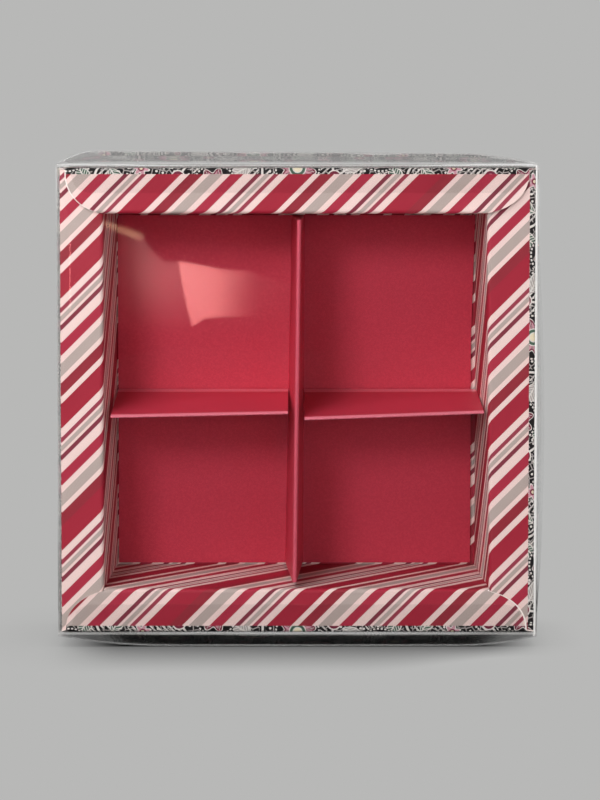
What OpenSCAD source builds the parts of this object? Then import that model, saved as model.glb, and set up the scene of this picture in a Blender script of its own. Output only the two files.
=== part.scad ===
// Sweet box: a printed card tray with a red four-cell insert, in a clear tuck-end case.
// It stands on its bottom closure, with the open face of the tray towards -Y.
// Millimetres. The origin is the middle of the flat foot under the bottom closure.

/* [Card tray] */
// Width of the tray over its outer walls
tray_w = 160; // [130:1:220]
// Height of the tray as it stands on edge
tray_h = 157; // [130:1:220]
// Depth of the tray from the front of its rim to the back of its floor
tray_d = 46.5; // [36:0.5:70]
// Thickness of the printed card
card_t = 0.5; // [0.3:0.05:0.6]
// Width of the striped rim
rim_w = 15.3; // [11:0.1:20]
// Radius of the fold from the rim into an inner wall
fold_r = 1.2; // [1:0.1:4]
// How far an inner wall leans in towards the floor
wall_lean = 1.1; // [0.2:0.1:3]
// Gap between a side inner wall and the inner wall above or below it
wall_end_gap = 0.1; // [0.05:0.05:1]
// Width of the tab that each inner wall lays on the floor
tab_w = 12; // [5:0.5:20]
// Radius of the rounded ends of the two rim flaps
flap_end_r = 12.5; // [4:0.5:13]
// Gap from the left side of the tray to the end of the top rim flap
flap_gap_top_left = 1.5; // [1:0.1:5]
// Gap from the right side of the tray to the end of the top rim flap
flap_gap_top_right = 1.9; // [1:0.1:5]
// Gap from the left side of the tray to the end of the bottom rim flap
flap_gap_bottom_left = 1.5; // [1:0.1:5]
// Gap from the right side of the tray to the end of the bottom rim flap
flap_gap_bottom_right = 3.9; // [1:0.1:5]

/* [Red insert] */
// Thickness of the red card
insert_t = 0.4; // [0.25:0.05:0.5]
// Gap between the insert and the left inner wall
insert_gap_left = 0.4; // [0.2:0.1:3]
// Gap between the insert and the right inner wall
insert_gap_right = 1.9; // [0.2:0.1:3]
// Gap between the insert and the bottom inner wall
insert_gap_bottom = 0.4; // [0.2:0.1:3]
// Gap between the insert and the top inner wall
insert_gap_top = 1.3; // [0.2:0.1:3]
// Width of the folded ridge where it leaves the base
ridge_foot_w = 4.6; // [3:0.1:8]
// Width of the ridge at its rounded front
ridge_nose_w = 1.3; // [1.1:0.1:2]
// How far the ridge stands behind the front of the rim
ridge_front_gap = 0.6; // [0.3:0.1:5]
// How far the ridge stands to the right of the middle of the insert
ridge_shift = 0.3; // [-10:0.1:10]
// How far the dividers stand above the middle of the insert
divider_shift = 0.2; // [-10:0.1:10]
// How far a divider's front edge stands behind the front of the rim
divider_front_gap = 1.3; // [0.6:0.1:6]
// Gap between a divider and the inner wall at its end
divider_wall_gap = 0.5; // [0.3:0.1:3]
// Gap between a divider and the foot of the ridge
divider_ridge_gap = 0.5; // [0.3:0.1:3]
// Gap between the base and the crease of a divider
divider_crease_gap = 0.5; // [0.5:0.05:1]
// Angle that a divider droops at its front, in degrees
divider_droop = 5.7; // [0:0.1:12]
// Width of the slit that a divider comes up through
slit_w = 1.0; // [0.8:0.1:2]
// Width of the strip that glues a divider under the base
foot_w = 10; // [4:0.5:20]

/* [Clear case] */
// Thickness of the clear sheet
sheet_t = 0.3; // [0.2:0.05:0.4]
// Gap between the tray and each side panel, room for the seam strip
side_gap = 0.6; // [0.55:0.05:1.5]
// Gap between the tray and the back panel
back_gap = 0.3; // [0.2:0.05:1]
// Gap between the tray and the dust flaps above and below it
tray_end_gap = 0.55; // [0.4:0.05:2]
// Gap between the front panel and a tuck flap, room for its swing
tuck_swing_gap = 1.8; // [1.8:0.1:4]
// Gap between a tuck flap and the rim behind it
tuck_rim_gap = 0.4; // [0.3:0.05:2]
// Running gap at each crease of the closures
crease_gap = 0.3; // [0.3:0.05:0.6]
// Width of the glued seam strip
seam_w = 12; // [5:0.5:20]
// Thickness of the glue between the seam strip and the right panel
seam_glue = 0.15; // [0.14:0.01:0.2]
// Gap from each end of the seam strip to the end of the right panel
seam_end_gap = 1; // [0.3:0.1:5]
// How far the right panel bulges at its middle
side_bulge = 4.2; // [0.5:0.1:6]

/* [Closures] */
// Rise of the top closure's front fold near its left corner
top_bow_left = 4.5; // [1:0.1:6]
// Rise of the top closure's front fold near its right corner
top_bow_right = 3.6; // [1:0.1:6]
// Length over which the top fold rises from its left corner
top_ramp_left = 14; // [8:1:40]
// Length over which the top fold rises from its right corner
top_ramp_right = 28; // [8:1:40]
// Length over which the top closure curves up from its crease
top_ramp_back = 90; // [20:1:120]
// Drop of the bottom closure, which is the height of its flat foot below the crease
bottom_bow = 3.4; // [1:0.1:6]
// Length over which the bottom fold drops from its left corner
bottom_ramp_left = 36; // [8:1:40]
// Length over which the bottom fold drops from its right corner
bottom_ramp_right = 26; // [8:1:40]
// Length over which the bottom closure curves down from its crease
bottom_ramp_back = 10; // [4:1:16]
// Length of a tuck flap below its fold
tuck_len = 14; // [9:0.5:15]
// Distance that a tuck flap starts inside the corner of its closure
tuck_inset = 2.5; // [1:0.5:6]
// Distance that a tuck flap narrows on each side towards its edge
tuck_taper = 2; // [0:0.5:5]
// Radius of a tuck flap's free corners
tuck_corner_r = 7; // [2:0.5:8]
// Length of a dust flap from its crease
dust_len = 46; // [20:1:50]
// Gap between a dust flap's front edge and the tuck flap
dust_front_gap = 2.5; // [2:0.1:6]
// Distance that a dust flap starts in front of the back panel
dust_back_gap = 3; // [2:0.5:8]
// Distance that a dust flap's free edge slants back
dust_slant = 6; // [0:0.5:12]
// Radius of a dust flap's free front corner
dust_corner_r = 6; // [2:0.5:8]

/* [Hidden] */

// Clear case, from the front panel back
case_w = tray_w + 2 * (side_gap + sheet_t);
case_d = tuck_swing_gap + tuck_rim_gap + tray_d + back_gap + 3 * sheet_t;
y_front = -case_d / 2;
y_back = case_d / 2;
y_tuck = y_front + sheet_t + tuck_swing_gap;
y_rim = y_tuck + sheet_t + tuck_rim_gap;
y_floor_back = y_rim + tray_d;
closure_d = y_back - y_tuck;

// Clear case, from the foot up
crease_step = sheet_t + crease_gap;
z_low = bottom_bow + crease_step;
z_side_low = z_low + crease_step;
z_tray = z_side_low - crease_gap + tray_end_gap;
z_tray_top = z_tray + tray_h;
z_side_high = z_tray_top + tray_end_gap - crease_gap;
z_high = z_side_high + crease_step;
z_close_top = z_high + crease_gap;

// Tray, from the outside in
half_w = tray_w / 2;
open_half_w = half_w - rim_w;
z_open_low = z_tray + rim_w;
z_open_high = z_tray_top - rim_w;
y_floor = y_floor_back - card_t;
y_tab = y_floor - card_t;
wall_foot_w = open_half_w - wall_lean;
z_wall_foot_low = z_open_low + wall_lean;
z_wall_foot_high = z_open_high - wall_lean;
flap_r = min(flap_end_r, rim_w - 1);

// Insert
y_base_back = y_tab - insert_t;
y_base = y_base_back - insert_t;
insert_x0 = -wall_foot_w + insert_gap_left;
insert_x1 = wall_foot_w - insert_gap_right;
insert_z0 = z_wall_foot_low + insert_gap_bottom;
insert_z1 = z_wall_foot_high - insert_gap_top;
ridge_x = (insert_x0 + insert_x1) / 2 + ridge_shift;
ridge_height = y_base - y_rim - ridge_front_gap;
z_crease = (insert_z0 + insert_z1) / 2 + divider_shift;
y_crease = y_base - divider_crease_gap;
divider_reach = y_crease - y_rim - divider_front_gap;
divider_left_x0 = -wall_foot_w + divider_wall_gap;
divider_left_x1 = ridge_x - ridge_foot_w / 2 - divider_ridge_gap;
divider_right_x0 = ridge_x + ridge_foot_w / 2 + divider_ridge_gap;
divider_right_x1 = insert_x1;

// Smoothness of the curved sheets and rounded corners
ramp_steps = 8;
arc_steps = 8;
bulge_steps = 8;
e = 0.01;

// Points of an arc from one angle to another
function arc(c, r, a0, a1) =
  [for (i = [0:arc_steps]) c + r * [cos(a0 + (a1 - a0) * i / arc_steps), sin(a0 + (a1 - a0) * i / arc_steps)]];

// Share of a rise that is reached at a share s of its length
function soft(s) = s >= 1 ? 1 : 1 - pow(1 - s, 2);

// Height of a closure's front fold at x, for a closure of width w
function crest(x, w, bow_l, bow_r, ramp_l, ramp_r) =
  let (
    from_left = x + w / 2,
    from_right = w / 2 - x,
    flat = w - ramp_l - ramp_r,
    share = min(1, max(0, (from_left - ramp_l) / flat))
  )
  (bow_l + (bow_r - bow_l) * share) * min(soft(from_left / ramp_l), soft(from_right / ramp_r));

// Places along a closure's width where its front fold has points
function crest_places(w, ramp_l, ramp_r) = concat(
  [for (i = [0:ramp_steps]) -w / 2 + ramp_l * i / ramp_steps],
  [for (i = [0:ramp_steps]) w / 2 - ramp_r + ramp_r * i / ramp_steps]
);

// Share of the front fold's height at distance v from the back crease
function rise(v, d, ramp_b) = soft(v / ramp_b) / soft(d / ramp_b);

// Places along a closure's depth where it has points
function rise_places(d, ramp_b) =
  let (curved = min(d, ramp_b))
  concat([for (j = [0:ramp_steps]) curved * j / ramp_steps], ramp_b < d ? [d] : []);

// Closed sheet over a grid of points: inner[j][i] and outer[j][i] are its two faces
module grid_sheet(inner, outer) {
  rows = len(inner);
  cols = len(inner[0]);
  n = rows * cols;
  function at(j, i) = j * cols + i;
  polyhedron(
    points = concat([for (r = inner) for (p = r) p], [for (r = outer) for (p = r) p]),
    faces = concat(
      [for (j = [0:rows - 2]) for (i = [0:cols - 2]) [at(j, i), at(j, i + 1), at(j + 1, i + 1)]],
      [for (j = [0:rows - 2]) for (i = [0:cols - 2]) [at(j, i), at(j + 1, i + 1), at(j + 1, i)]],
      [for (j = [0:rows - 2]) for (i = [0:cols - 2]) [n + at(j, i), n + at(j + 1, i + 1), n + at(j, i + 1)]],
      [for (j = [0:rows - 2]) for (i = [0:cols - 2]) [n + at(j, i), n + at(j + 1, i), n + at(j + 1, i + 1)]],
      [for (i = [0:cols - 2]) [at(0, i), n + at(0, i), n + at(0, i + 1), at(0, i + 1)]],
      [for (i = [0:cols - 2])
        [at(rows - 1, i), at(rows - 1, i + 1), n + at(rows - 1, i + 1), n + at(rows - 1, i)]],
      [for (j = [0:rows - 2]) [at(j, 0), at(j + 1, 0), n + at(j + 1, 0), n + at(j, 0)]],
      [for (j = [0:rows - 2])
        [at(j, cols - 1), n + at(j, cols - 1), n + at(j + 1, cols - 1), at(j + 1, cols - 1)]]
    )
  );
}

// Closure sheet, crease at the origin, free edge towards -Y, bowed towards +Z
module closure_sheet(bow_l, bow_r, ramp_l, ramp_r, ramp_b) {
  xs = crest_places(case_w, ramp_l, ramp_r);
  vs = rise_places(closure_d, ramp_b);
  function height(x, v) = crest(x, case_w, bow_l, bow_r, ramp_l, ramp_r) * rise(v, closure_d, ramp_b);
  grid_sheet(
    [for (v = vs) [for (x = xs) [x, -v, height(x, v)]]],
    [for (v = vs) [for (x = xs) [x, -v, height(x, v) + sheet_t]]]
  );
}

// Tuck flap under the front fold of a closure, front face at y = 0
module tuck_sheet(bow_l, bow_r, ramp_l, ramp_r) {
  half = case_w / 2 - tuck_inset;
  top = max(bow_l, bow_r);
  low = top - tuck_len;
  foot = half - tuck_taper;
  inside = [for (x = crest_places(case_w, ramp_l, ramp_r)) if (abs(x) < half - 1) x];
  function edge(x) = [x, crest(x, case_w, bow_l, bow_r, ramp_l, ramp_r) - crease_gap];
  translate([0, sheet_t, 0])
    rotate([90, 0, 0])
      linear_extrude(sheet_t)
        polygon(concat(
          [edge(-half)],
          [for (x = inside) edge(x)],
          [edge(half)],
          arc([foot - tuck_corner_r, low + tuck_corner_r], tuck_corner_r, 0, -90),
          arc([-foot + tuck_corner_r, low + tuck_corner_r], tuck_corner_r, -90, -180)
        ));
}

// Dust flap, crease along Y at x = 0, free edge towards +X, back panel at y = 0
module dust_sheet() {
  front = closure_d - sheet_t - dust_front_gap;
  back = dust_back_gap + dust_len / 2;
  linear_extrude(sheet_t)
    polygon(concat(
      [[0, -dust_back_gap], [0, -front]],
      arc([dust_len - dust_corner_r, -front + dust_corner_r], dust_corner_r, -90, 0),
      [[dust_len - dust_slant, -back]]
    ));
}

// Profile of a rim fold and inner wall: x runs out from the cell, y runs back from the rim
module wall_profile(depth) {
  polygon(concat(
    arc([fold_r, fold_r], fold_r, 270, 180),
    [[-wall_lean, depth], [card_t - wall_lean, depth]],
    arc([fold_r, fold_r], fold_r - card_t, 180, 270)
  ));
}

// Rim flap of the given end gaps, outer edge along z = 0, front face at y = 0
module rim_flap(gap_left, gap_right) {
  left = -half_w + gap_left;
  right = half_w - gap_right;
  translate([0, card_t, 0])
    rotate([90, 0, 0])
      linear_extrude(card_t)
        difference() {
          polygon(concat(
            [[left, card_t], [right, card_t]],
            arc([right - flap_r, rim_w - flap_r], flap_r, 0, 90),
            arc([left + flap_r, rim_w - flap_r], flap_r, 90, 180)
          ));
          translate([-open_half_w, rim_w - fold_r])
            square([2 * open_half_w, fold_r + e]);
        }
}

// Side rim strip, outer edge at x = 0, running in towards +X
module rim_flange() {
  fold_low = z_wall_foot_low + wall_end_gap;
  fold_high = z_wall_foot_high - wall_end_gap;
  difference() {
    translate([card_t, y_rim + card_t, z_tray + card_t])
      cube([rim_w - card_t, card_t, tray_h - 2 * card_t]);
    translate([rim_w - fold_r, y_rim, fold_low])
      cube([fold_r + e, 3 * card_t, fold_high - fold_low]);
  }
}

// Side inner wall with its rim fold, outer side of the tray at x = 0
module side_inner_wall() {
  fold_low = z_wall_foot_low + wall_end_gap;
  fold_high = z_wall_foot_high - wall_end_gap;
  translate([rim_w, y_rim + card_t, fold_low])
    linear_extrude(fold_high - fold_low)
      mirror([1, 0])
        wall_profile(y_floor - y_rim - card_t);
}

// Inner wall under the top or bottom rim flap, edge of the opening at z = 0, rim towards -Z
module end_inner_wall() {
  translate([-open_half_w, y_rim, 0])
    rotate([90, 0, 90])
      linear_extrude(2 * open_half_w)
        rotate(-90)
          wall_profile(y_floor - y_rim);
}

// Tab on the floor with mitred ends, foot of its wall along y = 0
module floor_tab(length) {
  linear_extrude(card_t)
    polygon([
      [-length / 2, 0],
      [length / 2, 0],
      [length / 2 - tab_w, tab_w],
      [-length / 2 + tab_w, tab_w]
    ]);
}

module tray_floor() {
  color("gainsboro")
    translate([card_t - half_w, y_floor, z_tray + card_t])
      cube([tray_w - 2 * card_t, card_t, tray_h - 2 * card_t]);
}

module tray_end_wall(z) {
  color("darkslategray")
    translate([card_t - half_w, y_rim, z])
      cube([tray_w - 2 * card_t, tray_d, card_t]);
}

module tray_side_wall(x) {
  color("darkslategray")
    translate([x, y_rim + card_t, z_tray])
      cube([card_t, tray_d - card_t, tray_h]);
}

module tray_top_wall() {
  tray_end_wall(z_tray_top - card_t);
}

module tray_bottom_wall() {
  tray_end_wall(z_tray);
}

module tray_left_wall() {
  tray_side_wall(-half_w);
}

module tray_right_wall() {
  tray_side_wall(half_w - card_t);
}

module rim_flap_top() {
  color("crimson")
    translate([0, y_rim, z_tray_top])
      mirror([0, 0, 1])
        rim_flap(flap_gap_top_left, flap_gap_top_right);
}

module rim_flap_bottom() {
  color("crimson")
    translate([0, y_rim, z_tray])
      rim_flap(flap_gap_bottom_left, flap_gap_bottom_right);
}

module rim_flange_left() {
  color("crimson")
    translate([-half_w, 0, 0])
      rim_flange();
}

module rim_flange_right() {
  color("crimson")
    translate([half_w, 0, 0])
      mirror([1, 0, 0])
        rim_flange();
}

module inner_wall_top() {
  color("indianred")
    translate([0, 0, z_open_high])
      mirror([0, 0, 1])
        end_inner_wall();
}

module inner_wall_bottom() {
  color("indianred")
    translate([0, 0, z_open_low])
      end_inner_wall();
}

module inner_wall_left() {
  color("indianred")
    translate([-half_w, 0, 0])
      side_inner_wall();
}

module inner_wall_right() {
  color("indianred")
    translate([half_w, 0, 0])
      mirror([1, 0, 0])
        side_inner_wall();
}

module floor_tab_bottom() {
  color("lightpink")
    translate([0, y_floor, z_wall_foot_low])
      rotate([90, 0, 0])
        floor_tab(2 * wall_foot_w);
}

module floor_tab_top() {
  color("lightpink")
    translate([0, y_floor, z_wall_foot_high])
      rotate([90, 0, 0])
        mirror([0, 1])
          floor_tab(2 * wall_foot_w);
}

module floor_tab_left() {
  color("lightpink")
    translate([-wall_foot_w, y_floor, (z_wall_foot_low + z_wall_foot_high) / 2])
      rotate([90, 0, 0])
        rotate(-90)
          floor_tab(z_wall_foot_high - z_wall_foot_low);
}

module floor_tab_right() {
  color("lightpink")
    translate([wall_foot_w, y_floor, (z_wall_foot_low + z_wall_foot_high) / 2])
      rotate([90, 0, 0])
        rotate(90)
          floor_tab(z_wall_foot_high - z_wall_foot_low);
}

// Half of the red base from x0 to x1, with the slit of the divider from slit_x0 to slit_x1
module insert_base(x0, x1, slit_x0, slit_x1) {
  color("firebrick")
    difference() {
      translate([x0, y_base, insert_z0])
        cube([x1 - x0, insert_t, insert_z1 - insert_z0]);
      translate([slit_x0, y_base - e, z_crease - slit_w / 2])
        cube([slit_x1 - slit_x0, insert_t + 2 * e, slit_w]);
    }
}

module insert_base_left() {
  insert_base(insert_x0, ridge_x - ridge_foot_w / 2, divider_left_x0 + 1, divider_left_x1);
}

module insert_base_right() {
  insert_base(ridge_x + ridge_foot_w / 2, insert_x1, divider_right_x0, divider_right_x1 - 1);
}

// Folded ridge between the left and right cells, open at both ends
module insert_ridge() {
  nose_r = ridge_nose_w / 2;
  inner_r = nose_r - insert_t;
  shoulder = ridge_height - nose_r;
  color("firebrick")
    translate([ridge_x, y_base + insert_t, insert_z0])
      linear_extrude(insert_z1 - insert_z0)
        mirror([0, 1])
          polygon(concat(
            [[-ridge_foot_w / 2 + insert_t, 0], [-ridge_foot_w / 2, 0]],
            arc([0, insert_t + shoulder], nose_r, 180, 0),
            [[ridge_foot_w / 2, 0], [ridge_foot_w / 2 - insert_t, 0]],
            arc([0, insert_t + shoulder], inner_r, 0, 180)
          ));
}

// Divider between an upper and a lower cell, at its droop
module divider(x0, x1) {
  color("crimson")
    translate([x0, y_crease, z_crease])
      rotate([divider_droop, 0, 0])
        translate([0, -divider_reach, -insert_t / 2])
          cube([x1 - x0, divider_reach, insert_t]);
}

// Strip that glues a divider to the back of the base
module divider_foot(x0, x1) {
  color("firebrick")
    translate([x0, y_base_back, z_crease + slit_w / 2])
      cube([x1 - x0, insert_t, foot_w]);
}

module divider_left() {
  divider(divider_left_x0, divider_left_x1);
}

module divider_right() {
  divider(divider_right_x0, divider_right_x1);
}

module divider_foot_left() {
  divider_foot(divider_left_x0 + 1, divider_left_x1);
}

module divider_foot_right() {
  divider_foot(divider_right_x0, divider_right_x1 - 1);
}

module cover_front() {
  color("lightcyan", 0.4)
    translate([-case_w / 2, y_front, z_low])
      cube([case_w, sheet_t, z_high - z_low]);
}

module cover_back() {
  color("lightcyan", 0.4)
    translate([-case_w / 2, y_back - sheet_t, z_low])
      cube([case_w, sheet_t, z_high - z_low]);
}

module cover_left() {
  color("lightcyan", 0.4)
    translate([-case_w / 2, y_front + sheet_t, z_side_low])
      cube([sheet_t, case_d - 2 * sheet_t, z_side_high - z_side_low]);
}

// Sheet that follows the bulge of the right side, from y0 to y1, inner face at x
module bulged_sheet(x, y0, y1, z0, z1) {
  y_half = case_d / 2 - sheet_t;
  z_half = (z_side_high - z_side_low) / 2;
  z_mid = (z_side_high + z_side_low) / 2;
  function out(y, z) = side_bulge * (1 - pow(y / y_half, 2)) * (1 - pow((z - z_mid) / z_half, 2));
  ys = [for (i = [0:bulge_steps]) y1 + (y0 - y1) * i / bulge_steps];
  zs = [for (j = [0:bulge_steps]) z0 + (z1 - z0) * j / bulge_steps];
  grid_sheet(
    [for (z = zs) [for (y = ys) [x + out(y, z), y, z]]],
    [for (z = zs) [for (y = ys) [x + out(y, z) + sheet_t, y, z]]]
  );
}

module cover_right() {
  color("lightcyan", 0.4)
    bulged_sheet(case_w / 2 - sheet_t, y_front + sheet_t, y_back - sheet_t, z_side_low, z_side_high);
}

// Seam strip glued inside the right panel, next to the front panel
module cover_glue_seam() {
  color("white", 0.5)
    bulged_sheet(
      case_w / 2 - 2 * sheet_t - seam_glue,
      y_front + sheet_t,
      y_front + sheet_t + seam_w,
      z_side_low + seam_end_gap,
      z_side_high - seam_end_gap
    );
}

module top_closure() {
  color("lightblue", 0.5)
    translate([0, y_back, z_close_top])
      closure_sheet(top_bow_left, top_bow_right, top_ramp_left, top_ramp_right, top_ramp_back);
}

module bottom_closure() {
  color("lightblue", 0.5)
    translate([0, y_back, bottom_bow + sheet_t])
      mirror([0, 0, 1])
        closure_sheet(bottom_bow, bottom_bow, bottom_ramp_left, bottom_ramp_right, bottom_ramp_back);
}

module top_tuck_flap() {
  color("lightskyblue", 0.5)
    translate([0, y_tuck, z_close_top])
      tuck_sheet(top_bow_left, top_bow_right, top_ramp_left, top_ramp_right);
}

module bottom_tuck_flap() {
  color("lightskyblue", 0.5)
    translate([0, y_tuck, bottom_bow + sheet_t])
      mirror([0, 0, 1])
        tuck_sheet(bottom_bow, bottom_bow, bottom_ramp_left, bottom_ramp_right);
}

module top_dust_flap_left() {
  color("powderblue", 0.5)
    translate([-case_w / 2, y_back, z_side_high + crease_gap])
      dust_sheet();
}

module top_dust_flap_right() {
  color("powderblue", 0.5)
    translate([case_w / 2, y_back, z_side_high + crease_gap])
      mirror([1, 0, 0])
        dust_sheet();
}

module bottom_dust_flap_left() {
  color("powderblue", 0.5)
    translate([-case_w / 2, y_back, z_side_low - crease_step])
      dust_sheet();
}

module bottom_dust_flap_right() {
  color("powderblue", 0.5)
    translate([case_w / 2, y_back, z_side_low - crease_step])
      mirror([1, 0, 0])
        dust_sheet();
}

tray_floor();
tray_top_wall();
tray_bottom_wall();
tray_left_wall();
tray_right_wall();
rim_flap_top();
rim_flap_bottom();
rim_flange_left();
rim_flange_right();
inner_wall_top();
inner_wall_bottom();
inner_wall_left();
inner_wall_right();
floor_tab_top();
floor_tab_bottom();
floor_tab_left();
floor_tab_right();
insert_base_left();
insert_base_right();
insert_ridge();
divider_left();
divider_right();
divider_foot_left();
divider_foot_right();
cover_front();
cover_left();
cover_back();
cover_right();
cover_glue_seam();
top_closure();
top_tuck_flap();
top_dust_flap_left();
top_dust_flap_right();
bottom_closure();
bottom_tuck_flap();
bottom_dust_flap_left();
bottom_dust_flap_right();
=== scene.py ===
"""Looks of a four-cell sweet box: striped card tray and red insert in a clear folded case."""

import logging
import math
from dataclasses import dataclass, field
from enum import Enum
from functools import partial
from typing import Callable

import bpy
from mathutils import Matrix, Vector


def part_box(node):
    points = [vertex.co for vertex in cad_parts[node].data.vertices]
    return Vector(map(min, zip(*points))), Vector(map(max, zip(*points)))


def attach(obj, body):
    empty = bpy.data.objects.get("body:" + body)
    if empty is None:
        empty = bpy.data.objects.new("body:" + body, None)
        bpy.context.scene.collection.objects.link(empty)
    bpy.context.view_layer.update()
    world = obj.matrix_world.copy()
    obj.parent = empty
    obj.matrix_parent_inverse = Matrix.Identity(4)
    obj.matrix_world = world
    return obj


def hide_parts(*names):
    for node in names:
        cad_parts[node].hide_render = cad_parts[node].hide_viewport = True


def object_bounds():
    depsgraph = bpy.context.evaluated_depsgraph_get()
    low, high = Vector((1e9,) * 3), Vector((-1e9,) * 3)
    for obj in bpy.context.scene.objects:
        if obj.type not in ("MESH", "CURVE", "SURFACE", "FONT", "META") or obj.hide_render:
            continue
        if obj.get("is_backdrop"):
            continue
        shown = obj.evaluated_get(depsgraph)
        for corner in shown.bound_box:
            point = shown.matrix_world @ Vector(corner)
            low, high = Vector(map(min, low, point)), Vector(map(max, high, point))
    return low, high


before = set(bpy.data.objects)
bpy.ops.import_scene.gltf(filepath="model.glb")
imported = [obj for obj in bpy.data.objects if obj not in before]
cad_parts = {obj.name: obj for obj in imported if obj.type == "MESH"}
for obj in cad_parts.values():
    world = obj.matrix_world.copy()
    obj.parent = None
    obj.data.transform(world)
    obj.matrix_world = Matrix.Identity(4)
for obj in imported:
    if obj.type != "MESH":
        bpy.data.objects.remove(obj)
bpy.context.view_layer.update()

log = logging.getLogger("sweet_box")
MM = 0.001
SMOOTH_ANGLE_DEG = 35.0
# Name of the mesh mark for whitened creases and for painted highlights on lit folds and edges.
WHITENING_AND_HIGHLIGHT = "whitening_and_highlight"
Point = tuple[float, float, float]
Grid = list[list[Point]]


class Side(Enum):
    """The four sides of the tray's rim, seen from the open face."""

    TOP = "top"
    BOTTOM = "bottom"
    LEFT = "left"
    RIGHT = "right"

    @property
    def is_end(self) -> bool:
        """Tells the top and bottom sides, whose rim flaps lie in front."""
        return self in (Side.TOP, Side.BOTTOM)


def linear(hex_code: str) -> tuple[float, float, float, float]:
    """Turns an sRGB hex colour into Blender's linear colour.

    Args:
        hex_code: Six hex digits, such as "A02D40".

    Returns:
        Linear red, green and blue, with an alpha of 1.
    """
    values = [int(hex_code[i:i + 2], 16) / 255 for i in (0, 2, 4)]
    lin = [v / 12.92 if v <= 0.04045 else ((v + 0.055) / 1.055) ** 2.4 for v in values]
    return (lin[0], lin[1], lin[2], 1.0)


def box_mm(node: str) -> tuple[Vector, Vector]:
    """Gives a CAD node's lowest and highest corners in millimetres."""
    low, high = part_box(node)
    return Vector(low) / MM, Vector(high) / MM


def add_node(tree: bpy.types.NodeTree, kind: str, settings: dict | None = None,
             inputs: dict | None = None) -> bpy.types.Node:
    """Adds a shader node, sets it and links it.

    Args:
        tree: The material's or world's node tree.
        kind: The node's type, such as "ShaderNodeMath".
        settings: Attributes of the node.
        inputs: Input name or number to a value, or to an output socket that is linked to it.

    Returns:
        The new node.
    """
    node = tree.nodes.new(kind)
    for name, value in (settings or {}).items():
        setattr(node, name, value)
    for name, value in (inputs or {}).items():
        if isinstance(value, bpy.types.NodeSocket):
            tree.links.new(value, node.inputs[name])
        else:
            node.inputs[name].default_value = value
    return node


class Field:
    """A number that varies over a surface: a node's output, on which arithmetic adds Math nodes."""

    def __init__(self, tree: bpy.types.NodeTree, socket: bpy.types.NodeSocket) -> None:
        """Keeps the node tree and the output."""
        self.tree, self.socket = tree, socket

    def math(self, operation: str, *others: "Field | float") -> "Field":
        """Applies an operation of the Math node, with this field as its first input."""
        inputs = {0: self.socket}
        for index, other in enumerate(others, start=1):
            inputs[index] = other.socket if isinstance(other, Field) else other
        node = add_node(self.tree, "ShaderNodeMath", {"operation": operation}, inputs)
        return Field(self.tree, node.outputs[0])

    def __add__(self, other: "Field | float") -> "Field":
        """Adds."""
        return self.math("ADD", other)

    def __sub__(self, other: "Field | float") -> "Field":
        """Subtracts."""
        return self.math("SUBTRACT", other)

    def __mul__(self, other: "Field | float") -> "Field":
        """Multiplies."""
        return self.math("MULTIPLY", other)

    def below(self, limit: "Field | float") -> "Field":
        """Gives 1 where the field is less than the limit, and else 0."""
        return self.math("LESS_THAN", limit)

    def above(self, limit: "Field | float") -> "Field":
        """Gives 1 where the field is more than the limit, and else 0."""
        return self.math("GREATER_THAN", limit)

    def size(self) -> "Field":
        """Drops the sign."""
        return self.math("ABSOLUTE")

    def tiled(self, length: float) -> "Field":
        """Repeats the field in tiles, with 0 in the middle of each."""
        return self.math("WRAP", length / 2, -length / 2)

    def hypot(self, other: "Field") -> "Field":
        """Gives the length of the line with this field and another as its sides."""
        return (self * self + other * other).math("SQRT")

    def eased(self, start: float, end: float, low: float = 0.0, high: float = 1.0) -> "Field":
        """Runs softly from one value to another between two values of the field."""
        node = add_node(self.tree, "ShaderNodeMapRange", {"interpolation_type": "SMOOTHSTEP"}, {
            "Value": self.socket, "From Min": start, "From Max": end, "To Min": low, "To Max": high})
        return Field(self.tree, node.outputs[0])


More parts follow.
